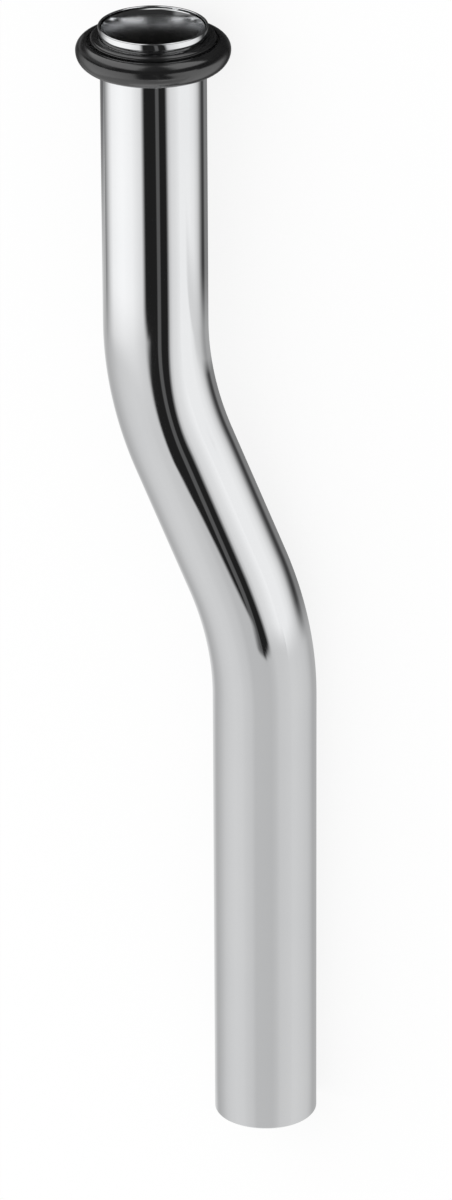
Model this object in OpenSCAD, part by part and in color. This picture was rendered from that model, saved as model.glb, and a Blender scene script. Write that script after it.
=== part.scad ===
// Urinal flush pipe: a thin bent tube with a lipped mouth and a rubber seal behind the lip.
// It lies at rest on its lower straight and on the edge of the seal.
// X runs along both straights, towards the mouth. The origin is under the middle of the part.

/* [Tube] */
// Outside diameter of the tube
tube_d = 18; // [15:0.5:22]
// Thickness of the tube's wall
wall = 1; // [0.8:0.1:1.5]
// Overall length, from the cut end to the rim of the mouth
length = 202; // [190:1:260]
// Length of the lower straight, from the cut end to the first bend
lower_len = 81.3; // [60:0.1:95]
// Rounding of the edges at the cut end
cut_round = 0.25; // [0.1:0.05:0.35]

/* [Bends] */
// Distance between the axes of the two straights
axis_offset = 20; // [16:0.5:30]
// Angle that each bend turns through
bend_angle = 25; // [20:1:32]
// Radius of each bend, at the tube's axis
bend_r = 54; // [40:1:66]
// How much a bend is drawn down on each side of its wall
bend_slim = 0.05; // [0.04:0.01:0.1]

/* [Mouth] */
// How far the lip stands out from the tube
lip_out = 0.3; // [0.15:0.05:0.5]
// Height of the straight band on the outside of the lip
lip_band = 0.45; // [0.2:0.05:0.8]
// How far the bore opens out at the mouth
flare_out = 0.4; // [0.2:0.05:0.6]
// Length over which the bore opens out
flare_len = 3; // [1.5:0.5:6]

/* [Seal ring] */
// Width of the seal, from the tube's surface to its widest line
seal_w = 4.1; // [3.7:0.1:6]
// Radius of the seal's crown on the side of the lip
crown_upper_r = 1.85; // [1.4:0.05:1.9]
// Radius of the seal's crown on the side of the bends
crown_lower_r = 2.85; // [2.2:0.05:3.4]
// Width of the raised ridge round the tube
ridge_w = 1.65; // [1.2:0.05:2]
// Height of the ridge above the seal's shoulder
ridge_h = 0.65; // [0.35:0.05:0.9]
// Width of the groove between the ridge and the shoulder
groove_w = 0.5; // [0.3:0.05:0.7]
// Depth of the groove below the shoulder
groove_depth = 0.5; // [0.35:0.05:0.8]
// Clearance between the tube and the seal's bore
seal_clear = 0.02; // [0.01:0.01:0.1]
// Clearance between the underside of the lip and the seal's ridge
lip_clear = 0.55; // [0.1:0.05:0.8]

/* [Hidden] */
$fn = 96;
// Length by which a straight runs on over the slimmer start of a bend
lap = 0.5;

tube_r = tube_d / 2;
bore_r = tube_r - wall;

// The S between the straights: two equal bends and a diagonal that takes up the rest
diagonal_len = (axis_offset - 2 * bend_r * (1 - cos(bend_angle))) / sin(bend_angle);
diagonal_x = lower_len + bend_r * sin(bend_angle);
diagonal_y = bend_r * (1 - cos(bend_angle));
upper_x = diagonal_x + diagonal_len * cos(bend_angle) + bend_r * sin(bend_angle);

// The lip is a band with a half round at each end, as thick as the metal that is left at the rim
lip_round = (wall + lip_out - flare_out) / 2;
lip_r = tube_r + lip_out;
lip_underside = lip_round + lip_band + sqrt(pow(lip_round, 2) - pow(max(0, lip_round - lip_out), 2));
mouth_len = lip_round + flare_len;
flare_arc = (pow(flare_len, 2) + pow(flare_out, 2)) / (2 * flare_out);

// Depths of the seal's parts below the rim of the mouth
seal_r = tube_r + seal_w;
seal_bore_r = tube_r + seal_clear;
ridge_top = lip_underside + lip_clear;
shoulder = ridge_top + ridge_h;
widest = shoulder + crown_upper_r;
ridge_round = ridge_h * 0.8;
ridge_r = tube_r + ridge_w;

// At rest the seal's edge and the lower straight touch one flat surface
rest_tilt = asin((seal_r - tube_r) / axis_offset);
middle_y = (axis_offset * cos(rest_tilt) + seal_r - tube_r) / 2;

// Lays the part down from its own plane, in which Y runs from one axis to the other
module lying() {
    translate([-length / 2, -middle_y, tube_r])
        rotate([rest_tilt, 0, 0])
            children();
}

// Turns a section of radius and height about the X axis
module turned_about_x() {
    rotate([0, 90, 0])
        rotate_extrude()
            children();
}

// Moves to the centre of the mouth's rim
module at_mouth() {
    translate([length, axis_offset, 0])
        children();
}

// The tube's section: a plain round wall, less slim on each side
module wall_section(slim) {
    difference() {
        circle(r = tube_r - slim);
        circle(r = bore_r + slim);
    }
}

// A straight of tube along X from the origin
module straight(len) {
    rotate([0, 90, 0])
        linear_extrude(height = len)
            wall_section(0);
}

// One bend of tube, turning anticlockwise from the angle start about its centre
module bend(start) {
    rotate([0, 0, start])
        rotate_extrude(angle = bend_angle)
            translate([bend_r, 0])
                wall_section(bend_slim);
}

// The S of the tube. Each straight runs on over the start of its bend by the lap
module bent_run() {
    translate([cut_round, 0, 0])
        straight(lower_len - cut_round + lap);
    translate([lower_len, bend_r, 0])
        bend(-90);
    translate([diagonal_x, diagonal_y, 0])
        rotate([0, 0, bend_angle])
            translate([-lap, 0, 0])
                straight(diagonal_len + 2 * lap);
    translate([upper_x, axis_offset - bend_r, 0])
        bend(90);
    at_mouth()
        translate([-mouth_len, 0, 0])
            rotate([0, 0, 180])
                straight(length - mouth_len - upper_x + lap);
}

// Section of the tube's wall at the cut end, with both edges rounded
module cut_end_section() {
    translate([bore_r + cut_round, 0])
        square([wall - 2 * cut_round, cut_round]);
    intersection() {
        for (r = [bore_r + cut_round, tube_r - cut_round])
            translate([r, cut_round])
                circle(r = cut_round);
        translate([bore_r, 0])
            square([wall, cut_round]);
    }
}

// Section of the mouth: the bore opens on an arc and the lip stands out round the rim
module mouth_section() {
    for (depth = [lip_round, lip_round + lip_band])
        translate([lip_r - lip_round, -depth])
            circle(r = lip_round);
    translate([lip_r - lip_round, -lip_round - lip_band])
        square([lip_round, lip_band]);
    intersection() {
        translate([bore_r, -mouth_len])
            square([wall, flare_len]);
        translate([bore_r + flare_arc, -mouth_len])
            circle(r = flare_arc);
    }
}

// One tube, bent twice, cut square at one end and lipped at the other
module flush_pipe() {
    color("#c9ccd0")
        lying() {
            bent_run();
            turned_about_x()
                cut_end_section();
            at_mouth()
                turned_about_x()
                    mouth_section();
        }
}

// Half of the seal's body: side is 1 towards the lip and -1 towards the bends
module crown_half(r, side) {
    intersection() {
        union() {
            translate([seal_r - r, 0])
                circle(r = r);
            translate([seal_bore_r, -r])
                square([seal_w - seal_clear - r, 2 * r]);
        }
        translate([seal_bore_r, side > 0 ? 0 : -r])
            square([seal_w, r]);
    }
}

// The ridge that stands up round the tube, with its outer edge rounded
module ridge_section() {
    translate([seal_bore_r, -shoulder - groove_depth])
        square([ridge_w - seal_clear - ridge_round, ridge_h + groove_depth]);
    translate([seal_bore_r, -shoulder - groove_depth])
        square([ridge_w - seal_clear, ridge_h + groove_depth - ridge_round]);
    translate([ridge_r - ridge_round, -ridge_top - ridge_round])
        circle(r = ridge_round);
}

// The groove outside the ridge, with a round bottom
module groove_section() {
    translate([ridge_r, -shoulder - groove_depth + groove_w / 2])
        square([groove_w, groove_depth + ridge_h]);
    translate([ridge_r + groove_w / 2, -shoulder - groove_depth + groove_w / 2])
        circle(r = groove_w / 2);
}

// The rubber ring that is stretched over the tube and pushed up under the lip
module seal_ring() {
    color("#1c1d1f")
        lying()
            at_mouth()
                turned_about_x() {
                    difference() {
                        translate([0, -widest]) {
                            crown_half(crown_upper_r, 1);
                            crown_half(crown_lower_r, -1);
                        }
                        groove_section();
                    }
                    ridge_section();
                }
}

flush_pipe();
seal_ring();
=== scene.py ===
"""Looks of a urinal flush pipe: a bent chrome tube with a rubber seal behind its lipped mouth.

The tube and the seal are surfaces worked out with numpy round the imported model, which stays as the frame.
Lengths are in metres and angles in radians, except where a name or a docstring says mm or degrees.
"""

import logging
import math
from dataclasses import dataclass
from enum import Enum
from typing import Any

import bpy
import numpy as np
from mathutils import Matrix, Vector


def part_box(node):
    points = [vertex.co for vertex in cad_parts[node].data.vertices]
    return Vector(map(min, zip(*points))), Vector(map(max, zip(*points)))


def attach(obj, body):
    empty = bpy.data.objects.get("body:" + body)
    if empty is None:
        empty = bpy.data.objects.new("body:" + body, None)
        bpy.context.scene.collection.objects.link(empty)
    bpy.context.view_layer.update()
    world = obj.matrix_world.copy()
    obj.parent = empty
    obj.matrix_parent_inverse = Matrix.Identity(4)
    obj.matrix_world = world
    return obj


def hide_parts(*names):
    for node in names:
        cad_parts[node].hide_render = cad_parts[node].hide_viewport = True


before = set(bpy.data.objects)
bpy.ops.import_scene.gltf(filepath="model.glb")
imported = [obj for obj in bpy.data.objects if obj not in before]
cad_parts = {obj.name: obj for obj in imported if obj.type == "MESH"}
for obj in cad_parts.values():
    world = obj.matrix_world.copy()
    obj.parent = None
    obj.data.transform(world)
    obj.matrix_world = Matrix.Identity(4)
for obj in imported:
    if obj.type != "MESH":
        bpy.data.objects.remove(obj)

LOG = logging.getLogger("flush_pipe_scene")
MM = 0.001
FULL_TURN = 2.0 * math.pi
PHOTO_LONG_SIDE = 1200
CHROME_MIRRORS = 0.84
BODY = "root"
HIDDEN_RAYS = ("camera", "diffuse", "transmission", "volume_scatter", "shadow")

Values = np.ndarray | float
Pair = tuple[float, float]
Stretch = tuple[float, float, int]
Color = tuple[float, float, float, float]

WHITE: Color = (1.0, 1.0, 1.0, 1.0)


def smooth_step(value: np.ndarray, low: float, high: float) -> np.ndarray:
    """Rises smoothly from 0 at low to 1 at high.

    Args:
        value: Where the step is read.
        low: The value at which the step starts.
        high: The value at which the step ends. It may be less than low, which turns the step round.

    Returns:
        The step, 3 t squared less 2 t cubed, with t the clipped share of the way from low to high.
    """
    t = np.clip((value - low) / (high - low), 0.0, 1.0)
    return t * t * (3.0 - 2.0 * t)


def blend(start: Values, end: Values, share: np.ndarray) -> np.ndarray:
    """Returns start where the share is 0, end where it is 1, and an even mix between."""
    return start * (1.0 - share) + end * share


@dataclass(frozen=True)
class Curve:
    """Values at a few places, such as greys at some angles, with straight steps between."""

    places: tuple[float, ...]
    values: tuple[float, ...]

    def at(self, where: np.ndarray) -> np.ndarray:
        """Returns the value at each place."""
        return np.interp(where, self.places, self.values)


@dataclass(frozen=True)
class Patch:
    """A patch with soft edges: it rises and falls one way and fades out the other way."""

    rise: Pair
    fall: Pair
    fade: Pair
    strength: float

    def at(self, one_way: np.ndarray, other_way: np.ndarray) -> np.ndarray:
        """Returns the patch's strength at each place."""
        inside = smooth_step(one_way, *self.rise) * smooth_step(one_way, *self.fall)
        return self.strength * inside * smooth_step(other_way, *self.fade)


class Wall(Enum):
    """Whether a grid's last row and last column join up with its first ones."""

    OPEN = "open"
    TORUS = "torus"


class BoreLevel(Enum):
    """The levels on the tube's mesh by which its finish changes down the bore: duller, and darker as painted
    shade.
    """

    DULL = "dull"
    PAINTED_DEEP_SHADE = "painted_deep_shade"


def grid_object(name: str, points: np.ndarray, wall: Wall, flip: bool = False) -> bpy.types.Object:
    """Makes an object whose mesh is a grid of four-sided faces.

    Args:
        name: The object's name.
        points: The grid's points, of shape (rows, columns, 3).
        wall: Whether the grid stays open or closes on itself both ways.
        flip: True turns every face over.

    Returns:
        The new object, at the origin, with smooth faces.
    """
    rows, cols = points.shape[:2]
    index = np.arange(rows * cols).reshape(rows, cols)
    if wall is Wall.TORUS:
        index = np.pad(index, ((0, 1), (0, 1)), mode="wrap")
    corners = (index[:-1, :-1], index[:-1, 1:], index[1:, 1:], index[1:, :-1])
    quads = np.stack(corners[::-1] if flip else corners, axis=-1).reshape(-1, 4)
    mesh = bpy.data.meshes.new(name)
    mesh.vertices.add(rows * cols)
    mesh.vertices.foreach_set("co", points.astype(np.float32).ravel())
    mesh.loops.add(quads.size)
    mesh.loops.foreach_set("vertex_index", quads.astype(np.int32).ravel())
    mesh.polygons.add(len(quads))
    mesh.polygons.foreach_set("loop_start", np.arange(0, quads.size, 4, dtype=np.int32))
    mesh.polygons.foreach_set("use_smooth", np.ones(len(quads), dtype=bool))
    mesh.update(calc_edges=True)
    mesh.validate()
    thing = bpy.data.objects.new(name, mesh)
    bpy.context.collection.objects.link(thing)
    return thing


def set_level(thing: bpy.types.Object, name: str, values: np.ndarray) -> None:
    """Stores one number for each point of a mesh, for its material to read.

    Args:
        thing: The object whose mesh gets the numbers.
        name: The attribute's name.
        values: The numbers, in the order of the points.
    """
    store = thing.data.attributes.new(name, "FLOAT", "POINT")
    store.data.foreach_set("value", values.astype(np.float32).ravel())


class Term:
    """One value in a shader: it wraps an output socket, and arithmetic on it adds Math nodes."""

    def __init__(self, tree: "Tree", socket: bpy.types.NodeSocket) -> None:
        """Wraps a socket of a tree."""
        self.tree = tree
        self.socket = socket

    def math(self, operation: str, other: "Term | float") -> "Term":
        """Returns a Math node of this term and another."""
        return self.tree.node("ShaderNodeMath", {"operation": operation}, {0: self, 1: other})

    def __add__(self, other: "Term | float") -> "Term":
        """Adds a term or a number."""
        return self.math("ADD", other)

    def __radd__(self, other: float) -> "Term":
        """Adds the term to a number."""
        return self + other

    def __mul__(self, other: "Term | float") -> "Term":
        """Multiplies by a term or a number."""
        return self.math("MULTIPLY", other)

    def __rmul__(self, other: float) -> "Term":
        """Multiplies a number by the term."""
        return self * other


class Tree:
    """A material's or world's node tree, emptied and then built up."""

    def __init__(self, owner: bpy.types.Material | bpy.types.World) -> None:
        """Empties a node tree.

        Args:
            owner: The material or world that the tree belongs to.
        """
        owner.use_nodes = True
        self.tree = owner.node_tree
        self.tree.nodes.clear()

    def node(self, kind: str, settings: dict[str, Any], inputs: dict[Any, Any], output: Any = 0) -> Term:
        """Adds one node of any kind.

        Args:
            kind: The node's type, such as ShaderNodeTexNoise.
            settings: Its own settings, such as a Math node's operation, which are set first.
            inputs: What goes into its sockets, by name or number: a Term, a number or a tuple.
            output: The name or number of the output that is returned.

        Returns:
            The node's output as a Term.
        """
        made = self.tree.nodes.new(kind)
        for name, value in settings.items():
            setattr(made, name, value)
        for key, value in inputs.items():
            socket = made.inputs[key]
            if isinstance(value, Term):
                self.tree.links.new(value.socket, socket)
            else:
                socket.default_value = value
        return Term(self, made.outputs[output])

    def place(self) -> Term:
        """Returns the Object coordinates."""
        return self.node("ShaderNodeTexCoord", {}, {}, "Object")

    def stored(self, name: str) -> Term:
        """Returns the numbers that set_level stored under a name."""
        return self.node("ShaderNodeAttribute", {"attribute_name": name}, {}, "Fac")

    def mix(self, share: Term, first: Term | Color, second: Term | Color) -> Term:
        """Returns the first colour where the share is 0, the second where it is 1, and a mix between."""
        return self.node("ShaderNodeMix", {"data_type": "RGBA"}, {0: share, 6: first, 7: second}, 2)

    def finish(self, shader: Term, kind: str = "ShaderNodeOutputMaterial") -> None:
        """Links a shader to the tree's output node."""
        made = self.tree.nodes.new(kind)
        self.tree.links.new(shader.socket, made.inputs["Surface"])


@dataclass(frozen=True)
class Grain:
    """A noise on Object coordinates: its scale, its detail and its stretch along the axes."""

    scale: float
    detail: float
    stretch: tuple[float, float, float] = (1.0, 1.0, 1.0)

    def on(self, tree: Tree, where: Term) -> Term:
        """Adds the noise to a tree.

        Args:
            tree: The material's tree.
            where: The coordinates at which the noise is read.

        Returns:
            The noise, between 0 and 1.
        """
        place = tree.node("ShaderNodeMapping", {}, {"Vector": where, "Scale": self.stretch})
        inputs = {"Vector": place, "Scale": self.scale, "Detail": self.detail}
        return tree.node("ShaderNodeTexNoise", {"noise_dimensions": "3D"}, inputs)


@dataclass(frozen=True)
class ChromePlate:
    """Polished chrome plate on drawn tube: near mirror, with faint polishing lines and slow waves.

    Inside the bore it is duller, and deeper down its colour darkens: painted shade, where less light reaches.
    """

    color: Color = (0.86, 0.865, 0.87, 1.0)
    haze: Color = (0.80, 0.81, 0.825, 1.0)
    # Painted shade: the darker colour deep in the bore, where less light reaches.
    painted_deep_shade: Color = (0.36, 0.355, 0.34, 1.0)
    roughness: float = 0.035
    roughness_spread: float = 0.05
    bore_roughness: float = 0.18
    lines: Grain = Grain(900.0, 3.0, (0.04, 1.0, 1.0))
    clouds: Grain = Grain(45.0, 4.0)
    waves: Grain = Grain(60.0, 1.0, (0.6, 1.0, 1.0))
    wave_height: float = 0.004 * MM

    def build(self) -> bpy.types.Material:
        """Makes the material.

        Returns:
            The material, which reads the bore's levels from the mesh.
        """
        material = bpy.data.materials.new("chrome_plate")
        tree = Tree(material)
        where = tree.place()
        lines = self.lines.on(tree, where)
        clouds = self.clouds.on(tree, where)
        waves = self.waves.on(tree, where)
        plate = tree.mix(clouds, self.haze, self.color)
        # Painted shade: the colour darkens deeper down the bore.
        color = tree.mix(tree.stored(BoreLevel.PAINTED_DEEP_SHADE.value), plate, self.painted_deep_shade)
        rough = self.roughness + self.roughness_spread * (lines * clouds)
        rough = rough + tree.stored(BoreLevel.DULL.value) * self.bore_roughness
        relief = {"Height": waves, "Distance": self.wave_height, "Strength": 1.0}
        bump = tree.node("ShaderNodeBump", {}, relief)
        look = {"Base Color": color, "Metallic": 1.0, "Roughness": rough, "Normal": bump}
        tree.finish(tree.node("ShaderNodeBsdfPrincipled", {}, look))
        return material


@dataclass(frozen=True)
class SealRubber:
    """Moulded black rubber: near black, with a soft sheen, a fine grain and slightly greyer rubbed places."""

    color: Color = (0.0045, 0.0045, 0.0048, 1.0)
    rubbed: Color = (0.013, 0.013, 0.0135, 1.0)
    roughness: float = 0.13
    roughness_spread: float = 0.08
    sheen_ior: float = 1.85
    grain: Grain = Grain(2600.0, 2.0)
    patches: Grain = Grain(170.0, 4.0)
    grain_height: float = 0.012 * MM
    grain_strength: float = 0.5

    def build(self) -> bpy.types.Material:
        """Makes the material.

        Returns:
            The material.
        """
        material = bpy.data.materials.new("seal_rubber")
        tree = Tree(material)
        where = tree.place()
        grain = self.grain.on(tree, where)
        patches = self.patches.on(tree, where)
        color = tree.mix(patches, self.color, self.rubbed)
        rough = self.roughness + self.roughness_spread * patches
        relief = {"Height": grain, "Distance": self.grain_height, "Strength": self.grain_strength}
        bump = tree.node("ShaderNodeBump", {}, relief)
        look = {"Base Color": color, "Roughness": rough, "Normal": bump, "IOR": self.sheen_ior}
        tree.finish(tree.node("ShaderNodeBsdfPrincipled", {}, look))
        return material


@dataclass(frozen=True)
class PipeForm:
    """The tube's driving sizes, and the way its axis runs from the cut end to the mouth."""

    length: float = 202.0 * MM
    tube_r: float = 9.0 * MM
    wall: float = 1.0 * MM
    lower_len: float = 81.3 * MM
    offset: float = 20.0 * MM
    bend_angle: float = math.radians(25.0)
    bend_r: float = 54.0 * MM
    cut_round: float = 0.25 * MM
    lip_out: float = 0.3 * MM
    lip_band: float = 0.9 * MM
    flare_out: float = 0.9 * MM
    flare_len: float = 5.0 * MM
    seal_w: float = 4.1 * MM
    axis_places: int = 2000

    @property
    def bore_r(self) -> float:
        """Radius of the bore."""
        return self.tube_r - self.wall

    @property
    def lip_round(self) -> float:
        """Radius of the rounded rim, half of the metal that is left there."""
        return (self.wall + self.lip_out - self.flare_out) / 2.0

    @property
    def tilt(self) -> float:
        """How far the plane of the two axes leans when the tube and the seal's edge touch the floor."""
        return math.asin(self.seal_w / self.offset)

    @property
    def diagonal(self) -> float:
        """Length of the straight between the two bends."""
        rise = 2.0 * self.bend_r * (1.0 - math.cos(self.bend_angle))
        return (self.offset - rise) / math.sin(self.bend_angle)

    @property
    def upper_x(self) -> float:
        """Distance along the part at which the upper straight starts."""
        bends = 2.0 * self.bend_r * math.sin(self.bend_angle)
        return self.lower_len + bends + self.diagonal * math.cos(self.bend_angle)

    @property
    def arc_len(self) -> float:
        """Length of one bend along its axis."""
        return self.bend_r * self.bend_angle

    @property
    def way_len(self) -> float:
        """Length of the whole axis, from the cut end to the rim."""
        return self.lower_len + 2.0 * self.arc_len + self.diagonal + self.length - self.upper_x

    @property
    def middle_y(self) -> float:
        """Where the middle of the part's box lies, measured from the lower axis."""
        return (self.offset * math.cos(self.tilt) + self.seal_w) / 2.0

    def axis(self, way: np.ndarray) -> tuple[np.ndarray, np.ndarray, np.ndarray]:
        """Follows the axis in its own plane.

        The heading rises evenly over the first bend and falls evenly over the second, and each place is the
        end of the stretch before it: a straight adds its length along the heading, and an arc of radius r
        from heading 0 to h adds r sin h along the part and r (1 - cos h) across it.

        Args:
            way: Distances along the axis from the cut end.

        Returns:
            The place along the part, the place across it and the heading, each as an array like way.
        """
        first = np.clip(way - self.lower_len, 0.0, self.arc_len) / self.bend_r
        start_2 = self.lower_len + self.arc_len + self.diagonal
        second = np.clip(way - start_2, 0.0, self.arc_len) / self.bend_r
        left = self.bend_angle - second
        between = np.clip(way - self.lower_len - self.arc_len, 0.0, self.diagonal)
        before = np.minimum(way, self.lower_len)
        after = np.maximum(way - start_2 - self.arc_len, 0.0)
        along = before + self.bend_r * np.sin(first) + between * math.cos(self.bend_angle)
        along += self.bend_r * (math.sin(self.bend_angle) - np.sin(left)) + after
        across = self.bend_r * (1.0 - np.cos(first)) + between * math.sin(self.bend_angle)
        across += self.bend_r * (np.cos(left) - math.cos(self.bend_angle))
        return along, across, first - second

    def across_at(self, along: np.ndarray) -> np.ndarray:
        """Reads how far across the axis lies.

        Args:
            along: Distances along the part from the cut end.

        Returns:
            The place across at each of them, with straight steps between the places worked out on the axis.
        """
        ways = np.linspace(0.0, self.way_len, self.axis_places)
        places, across, _ = self.axis(ways)
        return np.interp(along, places, across)

    def lay(self, along: Values, across: Values, out: Values) -> np.ndarray:
        """Turns places in the part's own plane into the shared frame.

        Args:
            along: Distance from the cut end.
            across: Distance from the lower axis towards the upper one.
            out: Height above the plane of the two axes.

        Returns:
            Points of shape (..., 3). The plane is tilted about the lower axis and set on the floor.
        """
        cos_t, sin_t = math.cos(self.tilt), math.sin(self.tilt)
        y = across * cos_t - out * sin_t - self.middle_y
        z = self.tube_r + across * sin_t + out * cos_t
        return np.stack([along - self.length / 2.0, y, z], axis=-1)

    def direction(self, along: float, across: float, out: float) -> Vector:
        """Turns a direction of the part's own plane into the shared frame."""
        return Vector(self.lay(along, across, out) - self.lay(0.0, 0.0, 0.0))


def arc(center: Pair, radius: float, start: float, end: float, count: int) -> np.ndarray:
    """Follows an arc of a section.

    Args:
        center: The arc's centre, as (depth or way, radius).
        radius: The arc's radius.
        start: First angle in degrees: 0 points along the way and 90 points outwards.
        end: Last angle in degrees.
        count: How many points.

    Returns:
        An array of shape (count, 2).
    """
    angle = np.radians(np.linspace(start, end, count))
    return np.stack([center[0] + radius * np.cos(angle), center[1] + radius * np.sin(angle)], axis=-1)


def level_run(ways: np.ndarray, radius: float) -> np.ndarray:
    """Returns a stretch of a section that stays at one radius."""
    return np.stack([ways, np.full_like(ways, radius)], axis=-1)


@dataclass(frozen=True)
class FlushPipe:
    """The bent tube, as one closed surface: outside, lip, bore and cut end."""

    form: PipeForm
    finish: ChromePlate = ChromePlate()
    sides: int = 192
    bend_rings: int = 40
    lower_rings: int = 14
    diagonal_rings: int = 8
    upper_rings: int = 12
    neck_points: int = 5
    neck_gap: float = 0.06 * MM
    underside_points: int = 14
    rim_points: int = 33
    flare_steps: int = 12
    edge_points: int = 7
    dull_depth: Pair = (1.0 * MM, 1.9 * MM)
    # Depths over which the bore's colour darkens as painted shade.
    painted_deep_shade_depth: Pair = (2.5 * MM, 9.0 * MM)

    def way_stops(self) -> np.ndarray:
        """Places the rings between the cut end and the mouth: many over the bends, few on the straights.

        Returns:
            The ways of the rings, in rising order.
        """
        form = self.form
        stops = [form.cut_round, form.lower_len, form.lower_len + form.arc_len]
        stops += [stops[-1] + form.diagonal, stops[-1] + form.diagonal + form.arc_len]
        stops += [form.way_len - form.lip_round - form.flare_len]
        counts = (self.lower_rings, self.bend_rings, self.diagonal_rings, self.bend_rings, self.upper_rings)
        parts = [np.linspace(a, b, n, endpoint=False) for a, b, n in zip(stops, stops[1:], counts)]
        return np.concatenate([*parts, stops[-1:]])

    def lip(self, start: float) -> np.ndarray:
        """Follows the outside of the mouth: the neck, the lip's underside and the half-round rim.

        Args:
            start: The way of the ring before the neck.

        Returns:
            Points of the section as (way, radius) pairs.
        """
        form = self.form
        rim_r = form.tube_r + form.lip_out - form.lip_round
        rim_way = form.way_len - form.lip_round
        band_way = rim_way - form.lip_band
        turn = math.pi - math.asin(1.0 - form.lip_out / form.lip_round)
        foot = band_way + form.lip_round * math.cos(turn)
        neck = level_run(np.linspace(start, foot - self.neck_gap, self.neck_points + 1)[1:], form.tube_r)
        underside = arc((band_way, rim_r), form.lip_round, math.degrees(turn), 90.0, self.underside_points)
        rim = arc((rim_way, rim_r), form.lip_round, 90.0, -90.0, self.rim_points)
        return np.concatenate([neck, underside, rim])

    def flare(self) -> np.ndarray:
        """Follows the flare from the rim's inner edge, whose point it repeats, down to the bore.

        The flare is an arc that is tangent to the bore. At a height h above the arc's foot it stands out by
        r less the root of r squared less h squared, with r the radius that meets the rim's inner edge.

        Returns:
            Points of the section as (way, radius) pairs.
        """
        form = self.form
        radius = (form.flare_len**2 + form.flare_out**2) / (2.0 * form.flare_out)
        height = np.linspace(form.flare_len, 0.0, self.flare_steps + 1)[:-2]
        foot = form.way_len - form.lip_round - form.flare_len
        return np.stack([foot + height, form.bore_r + radius - np.sqrt(radius**2 - height**2)], axis=-1)

    def cut_end(self) -> np.ndarray:
        """Follows the square cut with its two rounded edges, from the bore to the outside.

        Returns:
            Points of the section as (way, radius) pairs.
        """
        form = self.form
        inner_r = form.bore_r + form.cut_round
        outer_r = form.tube_r - form.cut_round
        inner = arc((form.cut_round, inner_r), form.cut_round, 270.0, 180.0, self.edge_points)[1:]
        outer = arc((form.cut_round, outer_r), form.cut_round, 180.0, 90.0, self.edge_points)[:-1]
        return np.concatenate([inner, outer])

    def build(self) -> bpy.types.Object:
        """Makes the tube's mesh and dresses it.

        The closed section runs along the outside to the lip, over the rim, down the flare, along the bore
        and round the cut end. Each of its points is carried round the axis: place on the axis, plus its
        radius along the direction that the angle round the axis gives between the plane's normal and the
        heading's.

        Returns:
            The new piece.
        """
        form = self.form
        stops = self.way_stops()
        outside = level_run(stops, form.tube_r)
        bore = level_run(stops[::-1], form.bore_r)
        section = np.concatenate([outside, self.lip(stops[-1]), self.flare(), bore, self.cut_end()])
        along, across, heading = (v[:, None] for v in form.axis(section[:, 0]))
        radius = section[:, 1][:, None]
        turn = np.linspace(0.0, FULL_TURN, self.sides, endpoint=False)[None, :]
        side = radius * np.cos(turn)
        points = form.lay(
            along - side * np.sin(heading),
            across + side * np.cos(heading),
            radius * np.sin(turn),
        )
        pipe = grid_object("bent_tube", points, Wall.TORUS, flip=True)
        depth = form.way_len - section[:, 0]
        inside = section[:, 1] < form.tube_r - form.wall / 2.0
        # The bore gets duller, and its colour darkens deeper down as painted shade.
        for kind, reach in ((BoreLevel.DULL, self.dull_depth), (BoreLevel.PAINTED_DEEP_SHADE, self.painted_deep_shade_depth)):
            level = smooth_step(depth, *reach) * inside
            set_level(pipe, kind.value, np.broadcast_to(level[:, None], points.shape[:2]))
        pipe.data.materials.append(self.finish.build())
        return pipe


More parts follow.
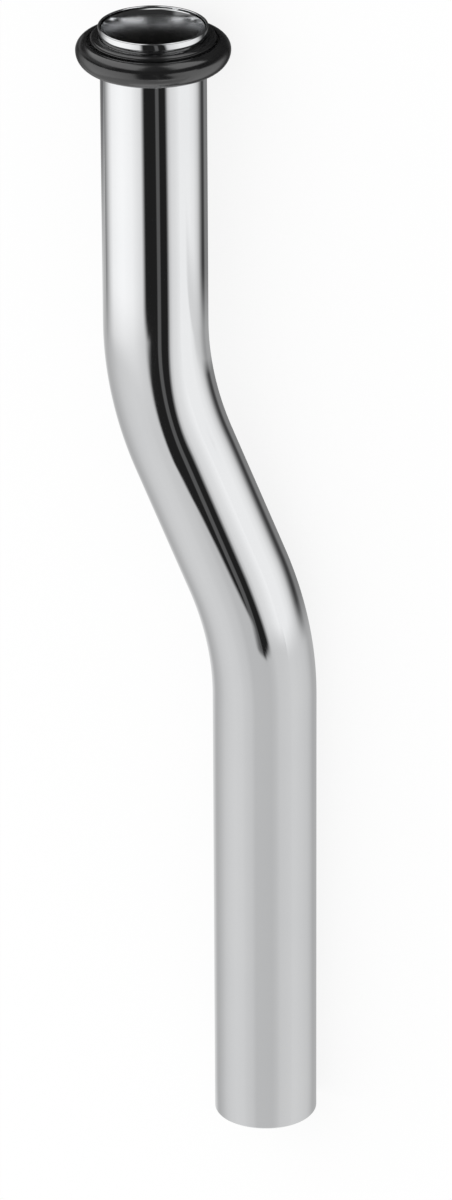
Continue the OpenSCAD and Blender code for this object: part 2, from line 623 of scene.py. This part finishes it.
@dataclass(frozen=True)
class SealRing:
    """The rubber ring behind the lip: two crowns, a ridge round the tube and a groove outside the ridge."""

    form: PipeForm
    depth: float
    finish: SealRubber = SealRubber()
    crown_upper_r: float = 1.85 * MM
    crown_lower_r: float = 2.85 * MM
    ridge_w: float = 1.65 * MM
    ridge_h: float = 0.65 * MM
    ridge_corner_share: float = 0.8
    groove_w: float = 0.5 * MM
    groove_depth: float = 0.5 * MM
    groove_bevel: float = 0.05 * MM
    bore_clear: float = 0.02 * MM
    bore_bevel_top: float = 0.1 * MM
    bore_bevel_bottom: float = 0.15 * MM
    bore_start: float = 1.0 * MM
    bore_points: int = 6
    corner_points: int = 9
    groove_points: int = 13
    crown_upper_points: int = 28
    crown_lower_points: int = 30
    sides: int = 256

    def section(self) -> np.ndarray:
        """Follows the closed section.

        It runs from the ridge's inner edge outwards: over the ridge's round corner, down into the groove,
        up on the shoulder, over the two crowns, which meet at the widest line, and back along the bore.

        Returns:
            Points as (depth below the rim, radius) pairs.
        """
        form = self.form
        bore_r = form.tube_r + self.bore_clear
        outer_r = form.tube_r + form.seal_w
        ridge_r = form.tube_r + self.ridge_w
        shoulder = self.depth + self.ridge_h
        widest = shoulder + self.crown_upper_r
        bottom = widest + self.crown_lower_r
        corner = self.ridge_corner_share * self.ridge_h
        half = self.groove_w / 2.0
        groove_floor = shoulder + self.groove_depth - half
        upper_r = outer_r - self.crown_upper_r
        lower_r = outer_r - self.crown_lower_r
        bore = np.linspace(bottom - self.bore_start, self.depth + self.bore_bevel_top, self.bore_points)
        return np.concatenate([
            np.array([[self.depth, bore_r + self.bore_bevel_top]]),
            arc((self.depth + corner, ridge_r - corner), corner, 180.0, 90.0, self.corner_points),
            arc((groove_floor, ridge_r + half), half, -90.0, 90.0, self.groove_points),
            np.array([[shoulder + self.groove_bevel, ridge_r + self.groove_w]]),
            arc((widest, upper_r), self.crown_upper_r, 180.0, 90.0, self.crown_upper_points),
            arc((widest, lower_r), self.crown_lower_r, 90.0, 0.0, self.crown_lower_points)[1:],
            np.array([[bottom, bore_r + self.bore_bevel_bottom], [bottom - self.bore_bevel_bottom, bore_r]]),
            level_run(bore, bore_r),
        ])

    def build(self) -> bpy.types.Object:
        """Makes the ring's mesh, by turning its section about the upper axis, and dresses it.

        Returns:
            The new piece.
        """
        section = self.section()
        shape = (len(section), self.sides)
        depth, radius = (np.broadcast_to(values[:, None], shape) for values in section.T)
        turn = np.linspace(0.0, FULL_TURN, self.sides, endpoint=False)[None, :]
        points = self.form.lay(
            self.form.length - depth,
            self.form.offset + radius * np.cos(turn),
            radius * np.sin(turn),
        )
        ring = grid_object("rubber_seal", points, Wall.TORUS)
        ring.data.materials.append(self.finish.build())
        return ring


@dataclass(frozen=True)
class PhotoCamera:
    """The photograph's camera, as fitted to the object's outline, in the plane of the two axes."""

    distance: float = 1292.5 * MM
    elevation: float = math.radians(25.26)
    turn: float = math.radians(23.48)
    roll: float = math.radians(-0.29)
    focal_px: float = 7485.0
    aim_along: float = 97.88 * MM
    aim_across: float = 7.2 * MM
    sensor_mm: float = 36.0
    clip_start: float = 0.05
    clip_end: float = 30.0

    def build(self, form: PipeForm) -> None:
        """Makes the camera and makes it the scene's.

        Args:
            form: The tube's sizes, which give the tilt of the plane.
        """
        flat = math.cos(self.elevation)
        aside = math.sin(self.turn)
        above = math.cos(self.turn)
        back = form.direction(math.sin(self.elevation), -aside * flat, above * flat)
        level = form.direction(0.0, -above, -aside)
        upright = back.cross(level)
        right = level * math.cos(self.roll) + upright * math.sin(self.roll)
        up = upright * math.cos(self.roll) - level * math.sin(self.roll)
        target = Vector(form.lay(self.aim_along, self.aim_across, 0.0))
        data = bpy.data.cameras.new("photo_camera")
        data.sensor_width = self.sensor_mm
        data.lens = self.focal_px * self.sensor_mm / PHOTO_LONG_SIDE
        data.clip_start = self.clip_start
        data.clip_end = self.clip_end
        camera = bpy.data.objects.new("photo_camera", data)
        bpy.context.collection.objects.link(camera)
        place = target + back * self.distance
        camera.matrix_world = Matrix.Translation(place) @ Matrix((right, up, back)).transposed().to_4x4()
        bpy.context.scene.camera = camera


def screen_light(greys: np.ndarray) -> np.ndarray:
    """Works out how bright a card has to be for the chrome to show it in the greys that are asked for.

    Args:
        greys: Greys from 0 to 255, as a screen shows them.

    Returns:
        The greys turned into light by the usual display curve, over the share of light that chrome mirrors.
    """
    share = np.asarray(greys, dtype=float) / 255.0
    light = np.where(share <= 0.04045, share / 12.92, ((share + 0.055) / 1.055) ** 2.4)
    return light / CHROME_MIRRORS


def hang_card(name: str, points: np.ndarray, greys: np.ndarray, cover: np.ndarray | None = None) -> None:
    """Makes a card that mirror rays alone see: it doesn't light or shade the object or show in the picture.

    Args:
        name: The card's name.
        points: Its grid of points.
        greys: The grey from 0 to 255 that the chrome shows for each of them.
        cover: How far each of them hides what is behind it, from 0 to 1. Without it the card hides all.
    """
    card = grid_object(name, points, Wall.OPEN)
    set_level(card, "level", screen_light(greys))
    set_level(card, "cover", np.ones(greys.shape) if cover is None else cover)
    material = bpy.data.materials.new(name)
    tree = Tree(material)
    shine = tree.node("ShaderNodeEmission", {}, {"Color": tree.stored("level"), "Strength": 1.0})
    clear = tree.node("ShaderNodeBsdfTransparent", {}, {})
    tree.finish(tree.node("ShaderNodeMixShader", {}, {0: tree.stored("cover"), 1: clear, 2: shine}))
    card.data.materials.append(material)
    for ray in HIDDEN_RAYS:
        setattr(card, f"visible_{ray}", False)


@dataclass(frozen=True)
class Tent:
    """The shape of a half-round tent over the part."""

    radius: float
    span: Pair
    rows: int
    columns: int = 721

    def grid(self) -> tuple[np.ndarray, np.ndarray, np.ndarray]:
        """Lays the tent out: a point is the radius times the sine of its angle across and the cosine up.

        Returns:
            The points, and for each of them its place along the part in mm and its angle in degrees.
        """
        places = np.linspace(*self.span, self.rows)
        along, angle = np.meshgrid(places, np.linspace(-90.0, 90.0, self.columns), indexing="ij")
        turn = np.radians(angle)
        points = np.stack([along, self.radius * np.sin(turn), self.radius * np.cos(turn)], axis=-1)
        return points, along / MM, angle


FAR_TENT = Tent(0.6, (-0.4, 0.45), 160)


@dataclass(frozen=True)
class NearTent:
    """The white tent close over the part, lighter at the head and light grey at the foot.

    It has a window on the -Y side, through which the far tent shows dark, and so the dark band on the tube
    ends where the window does. Angles are in degrees from straight up, minus towards -Y, and places along
    the part are in mm from its middle.
    """

    tent: Tent = Tent(0.12, (-0.26, 0.4), 240)
    head: Curve = Curve(
        (-10.0, 0.0, 7.0, 15.0, 34.0, 46.0, 60.0, 68.0, 76.0, 84.0, 90.0),
        (205.0, 220.0, 229.0, 239.0, 246.0, 244.0, 237.0, 218.0, 182.0, 140.0, 120.0),
    )
    foot: Curve = Curve(
        (-90.0, -66.0, -58.0, -50.0, -20.0, -12.0, 0.0, 8.0, 25.0, 40.0, 53.0, 61.0, 70.0, 90.0),
        (201.0, 196.0, 187.0, 182.0, 184.0, 194.0, 199.0, 204.0, 206.0, 203.0, 198.0, 192.0, 184.0, 170.0),
    )
    foot_to_head: Pair = (-8.0, 16.0)
    window_edge: Curve = Curve(
        (-36.0, -29.0, -21.0, -14.0, -6.0, -2.0, 1.0, 4.0, 9.0, 51.0),
        (-38.0, -38.0, -38.5, -31.8, -27.5, -24.7, -20.0, -12.5, -7.7, -6.8),
    )
    edge_blur: float = 4.5
    window_foot: Curve = Curve((-66.0, -58.0, -48.0, -36.0), (-18.0, -27.0, -35.0, -34.0))
    foot_blur: Curve = Curve((-66.0, -57.0, -50.0), (10.0, 6.0, 1.8))

    def build(self) -> None:
        """Makes the tent, which is clear in the window."""
        points, along, angle = self.tent.grid()
        greys = blend(self.foot.at(angle), self.head.at(angle), smooth_step(along, *self.foot_to_head))
        past_edge = smooth_step(angle - self.window_edge.at(along), -self.edge_blur, self.edge_blur)
        foot = self.window_foot.at(angle)
        blur = self.foot_blur.at(angle)
        below = smooth_step(along, foot + blur, foot - blur)
        hang_card("near_tent", points, greys, np.maximum(past_edge, below))


@dataclass(frozen=True)
class FarTent:
    """The dark tent behind the window, with a thin grey strip and a light side towards -Y.

    The strip and the light side's edge are given as angles at the foot and at the head, in degrees.
    """

    tent: Tent = FAR_TENT
    dark_grey: float = 30.0
    strip_grey: float = 84.0
    side: Curve = Curve((-2.5, 0.0, 4.0, 10.0, 20.0, 36.0), (34.0, 110.0, 192.0, 213.0, 221.0, 238.0))
    foot_to_head: Pair = (-215.0, 30.0)
    side_edge: Pair = (-62.2, -52.6)
    side_lap: float = 2.5
    strip_at: Pair = (-42.5, -37.0)
    strip_fade: Pair = (5.0, 2.5)

    def build(self) -> None:
        """Makes the tent."""
        points, along, angle = self.tent.grid()
        lean = smooth_step(along, *self.foot_to_head)
        edge = blend(*self.side_edge, lean)
        strip = smooth_step(np.abs(angle - blend(*self.strip_at, lean)), *self.strip_fade)
        dark = blend(self.dark_grey, self.strip_grey, strip)
        greys = np.where(angle < edge + self.side_lap, self.side.at(edge - angle), dark)
        hang_card("far_tent", points, greys)


@dataclass(frozen=True)
class HeadDisc:
    """The dark half disc past the mouth that fills the far tent's end, in polar rings."""

    tent: Tent = FAR_TENT
    grey: float = 26.0
    inner_r: float = 1.0 * MM
    rings: int = 4
    spokes: int = 91

    def build(self) -> None:
        """Makes the disc."""
        radii = np.linspace(self.inner_r, self.tent.radius, self.rings)
        turns = np.radians(np.linspace(-90.0, 90.0, self.spokes))
        out, turn = np.meshgrid(radii, turns, indexing="ij")
        along = np.full_like(out, self.tent.span[1])
        points = np.stack([along, out * np.sin(turn), out * np.cos(turn)], axis=-1)
        hang_card("head_card", points, np.full(out.shape, self.grey))


@dataclass(frozen=True)
class FloorSheet:
    """The sheet just over the floor, whose greys follow the distance from the part's own line; on the near
    side they are painted shadow.

    Distances from the line, places along the part from its middle, and reaches from the middle of its width
    are in mm. Near is the side towards -Y.
    """

    form: PipeForm
    height: float = 0.05 * MM
    grid_along: Stretch = (-0.3, 0.4, 351)
    grid_across: tuple[Stretch, ...] = ((-0.6, -0.062, 60), (-0.06, 0.1, 321), (0.105, 0.6, 60))
    # Painted shadow on the near side, darkest close under the tube.
    near: Curve = Curve(
        (9.5, 11.0, 12.4, 13.8, 15.8, 18.0, 21.0, 26.0, 38.0),
        (122.0, 66.0, 54.0, 94.0, 150.0, 192.0, 212.0, 226.0, 234.0),
    )
    # The same painted shadow, softer, at the foot.
    near_foot_shadow: Curve = Curve((10.0, 12.0, 13.5, 16.0, 23.0, 40.0), (168.0, 182.0, 189.0, 195.0, 200.0, 203.0))
    near_break: Patch = Patch(rise=(35.6, 37.6), fall=(55.0, 41.0), fade=(60.0, 30.0), strength=0.75)
    foot_line: Curve = Curve((20.0, 150.0, 600.0), (-5.0, -30.0, -230.0))
    foot_blur: Curve = Curve((0.0, 600.0), (4.0, 34.0))
    far: Curve = Curve((0.0, 24.0, 32.0, 42.0, 52.0, 66.0), (212.0, 208.0, 200.0, 189.0, 181.0, 172.0))
    far_mouth: Curve = Curve((0.0, 26.0, 37.0, 49.0, 70.0), (180.0, 142.0, 114.0, 94.0, 82.0))
    to_mouth: Pair = (38.0, 74.0)
    past: Curve = Curve((0.0, 2.5, 5.0, 9.0, 15.0, 24.0, 40.0), (40.0, 46.0, 52.0, 58.0, 58.0, 56.0, 54.0))
    past_mouth: Pair = (94.0, 101.0)
    past_reach: Pair = (110.0, 60.0)

    def build(self) -> None:
        """Makes the sheet, with its painted shadow on the near side, its own greys at the foot, in a break of
        the near side and past the mouth.
        """
        half = self.form.length / 2.0
        across = np.concatenate([np.linspace(*stretch) for stretch in self.grid_across])
        x, y = np.meshgrid(np.linspace(*self.grid_along), across, indexing="ij")
        own_line = self.form.across_at(np.clip(x + half, 0.0, self.form.length))
        side = (y - own_line * math.cos(self.form.tilt) + self.form.middle_y) / MM
        along = x / MM
        reach = np.abs(y) / MM
        line = self.foot_line.at(reach)
        blur = self.foot_blur.at(reach)
        foot = smooth_step(along, line + blur, line - blur)
        soft = np.maximum(foot, self.near_break.at(along, reach))
        # The near side's painted shadow, softer at the foot and in the break.
        near = blend(self.near.at(-side), self.near_foot_shadow.at(-side), soft)
        far = blend(self.far.at(side), self.far_mouth.at(side), smooth_step(along, *self.to_mouth))
        past = smooth_step(along, *self.past_mouth) * smooth_step(reach, *self.past_reach)
        greys = blend(np.where(side < 0.0, near, far), self.past.at(along - half / MM), past)
        hang_card("floor_card", np.stack([x, y, np.full_like(x, self.height)], axis=-1), greys)


@dataclass(frozen=True)
class MouthDome:
    """The small dome past the mouth, which the rim, the bore and the seal's top mirror.

    It is dark low down and light above, with a dark gap on the camera's side. Two soft patches on the +Y side
    lighten the low part, one at the rim's level and one higher up. A rise is in degrees from the plane of the
    rim, and a turn is in degrees from straight up, minus towards -Y.
    """

    form: PipeForm
    radius: float = 32.0 * MM
    floor_clear: float = 0.2 * MM
    least_level: float = 1.0 * MM
    rises: Stretch = (-2.0, 90.0, 93)
    columns: int = 241
    low_grey: float = 45.0
    light_grey: float = 256.0
    gap_grey: float = 70.0
    gap_at: float = -40.0
    gap_edge: Pair = (12.0, 32.0)
    light_from: Pair = (18.0, 29.0)
    light_top: float = 88.0
    light_fade: float = 22.0
    behind_at: float = 145.0
    behind_edge: Pair = (55.0, 35.0)
    behind_drop: float = 62.0
    patch_at_rim: Patch = Patch(rise=(50.0, 80.0), fall=(125.0, 105.0), fade=(12.0, 2.0), strength=85.0)
    patch_higher: Patch = Patch(rise=(8.0, 26.0), fall=(90.0, 70.0), fade=(3.0, 10.0), strength=80.0)

    def grid(self) -> tuple[np.ndarray, np.ndarray, np.ndarray]:
        """Lays the dome out about the rim's centre.

        A point is the radius times the sine of its rise along the part, and times the cosine of its rise
        and the sine and the cosine of its turn across and up. The turns end where the dome meets the floor.

        Returns:
            The points, and for each of them its rise and its turn in degrees.
        """
        centre = self.form.lay(self.form.length, self.form.offset, 0.0)
        shares = np.linspace(-1.0, 1.0, self.columns)
        rise, share = np.meshgrid(np.radians(np.linspace(*self.rises)), shares, indexing="ij")
        level = self.radius * np.cos(rise)
        drop = (centre[2] - self.floor_clear) / np.maximum(level, self.least_level)
        turn = share * np.arccos(np.clip(-drop, -1.0, 1.0))
        ball = np.stack([self.radius * np.sin(rise), level * np.sin(turn), level * np.cos(turn)], axis=-1)
        return centre + ball, np.degrees(rise), np.degrees(turn)

    def build(self) -> None:
        """Makes the dome. Its light part ends lower behind the mouth, away from the camera."""
        points, rise, turn = self.grid()
        from_gap = np.abs((turn - self.gap_at + 180.0) % 360.0 - 180.0)
        light = blend(self.gap_grey, self.light_grey, smooth_step(from_gap, *self.gap_edge))
        low = self.low_grey + self.patch_at_rim.at(turn, rise) + self.patch_higher.at(turn, rise)
        behind = smooth_step(np.abs(turn - self.behind_at), *self.behind_edge)
        top = self.light_top - self.behind_drop * behind
        lit = smooth_step(rise, *self.light_from) * smooth_step(rise, top, top - self.light_fade)
        hang_card("mouth_dome", points, blend(low, light, lit))


@dataclass(frozen=True)
class Surround:
    """The white world and the white floor, which keeps the object's soft shadow."""

    floor_half: float = 6.0
    shadow_share: float = 0.16

    def build_world(self) -> None:
        """Makes the plain white world."""
        world = bpy.data.worlds.new("white_surround")
        tree = Tree(world)
        tree.finish(tree.node("ShaderNodeBackground", {}, {"Color": WHITE}), "ShaderNodeOutputWorld")
        bpy.context.scene.world = world

    def build_floor(self) -> None:
        """Makes the floor: white cloth, over which the camera sees plain white but for the shadow's share."""
        ends = np.array([-self.floor_half, self.floor_half])
        x, y = np.meshgrid(ends, ends)
        floor = grid_object("floor", np.stack([x, y, np.zeros_like(x)], axis=-1), Wall.OPEN)
        material = bpy.data.materials.new("white_floor")
        tree = Tree(material)
        seen = tree.node("ShaderNodeLightPath", {}, {}, "Is Camera Ray")
        cloth = tree.node("ShaderNodeBsdfDiffuse", {}, {"Color": WHITE})
        white = tree.node("ShaderNodeEmission", {}, {"Color": WHITE, "Strength": 1.0})
        share = seen * (1.0 - self.shadow_share)
        tree.finish(tree.node("ShaderNodeMixShader", {}, {0: share, 1: cloth, 2: white}))
        floor.data.materials.append(material)

    def build(self) -> None:
        """Makes the world and the floor."""
        self.build_world()
        self.build_floor()


def fit_out(piece: bpy.types.Object, node: str) -> None:
    """Puts a new piece in a node's place.

    Args:
        piece: The new piece.
        node: The node that it stands for.
    """
    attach(piece, BODY)
    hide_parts(node)
    LOG.info("%s stands for %s: %d faces", piece.name, node, len(piece.data.polygons))


def main() -> None:
    """Builds the camera, the pieces, the cards and the studio, and reports each piece."""
    logging.basicConfig(level=logging.INFO, format="%(name)s: %(message)s")
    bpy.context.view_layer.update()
    form = PipeForm()
    PhotoCamera().build(form)
    fit_out(FlushPipe(form).build(), "flush_pipe")
    ridge_depth = form.length / 2.0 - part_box("seal_ring")[1][0]
    fit_out(SealRing(form, ridge_depth).build(), "seal_ring")
    for card in (MouthDome(form), NearTent(), FarTent(), FloorSheet(form), HeadDisc()):
        card.build()
    Surround().build()
    bpy.context.scene.view_settings.view_transform = "Standard"
    bpy.context.view_layer.update()


if __name__ == "__main__":
    main()
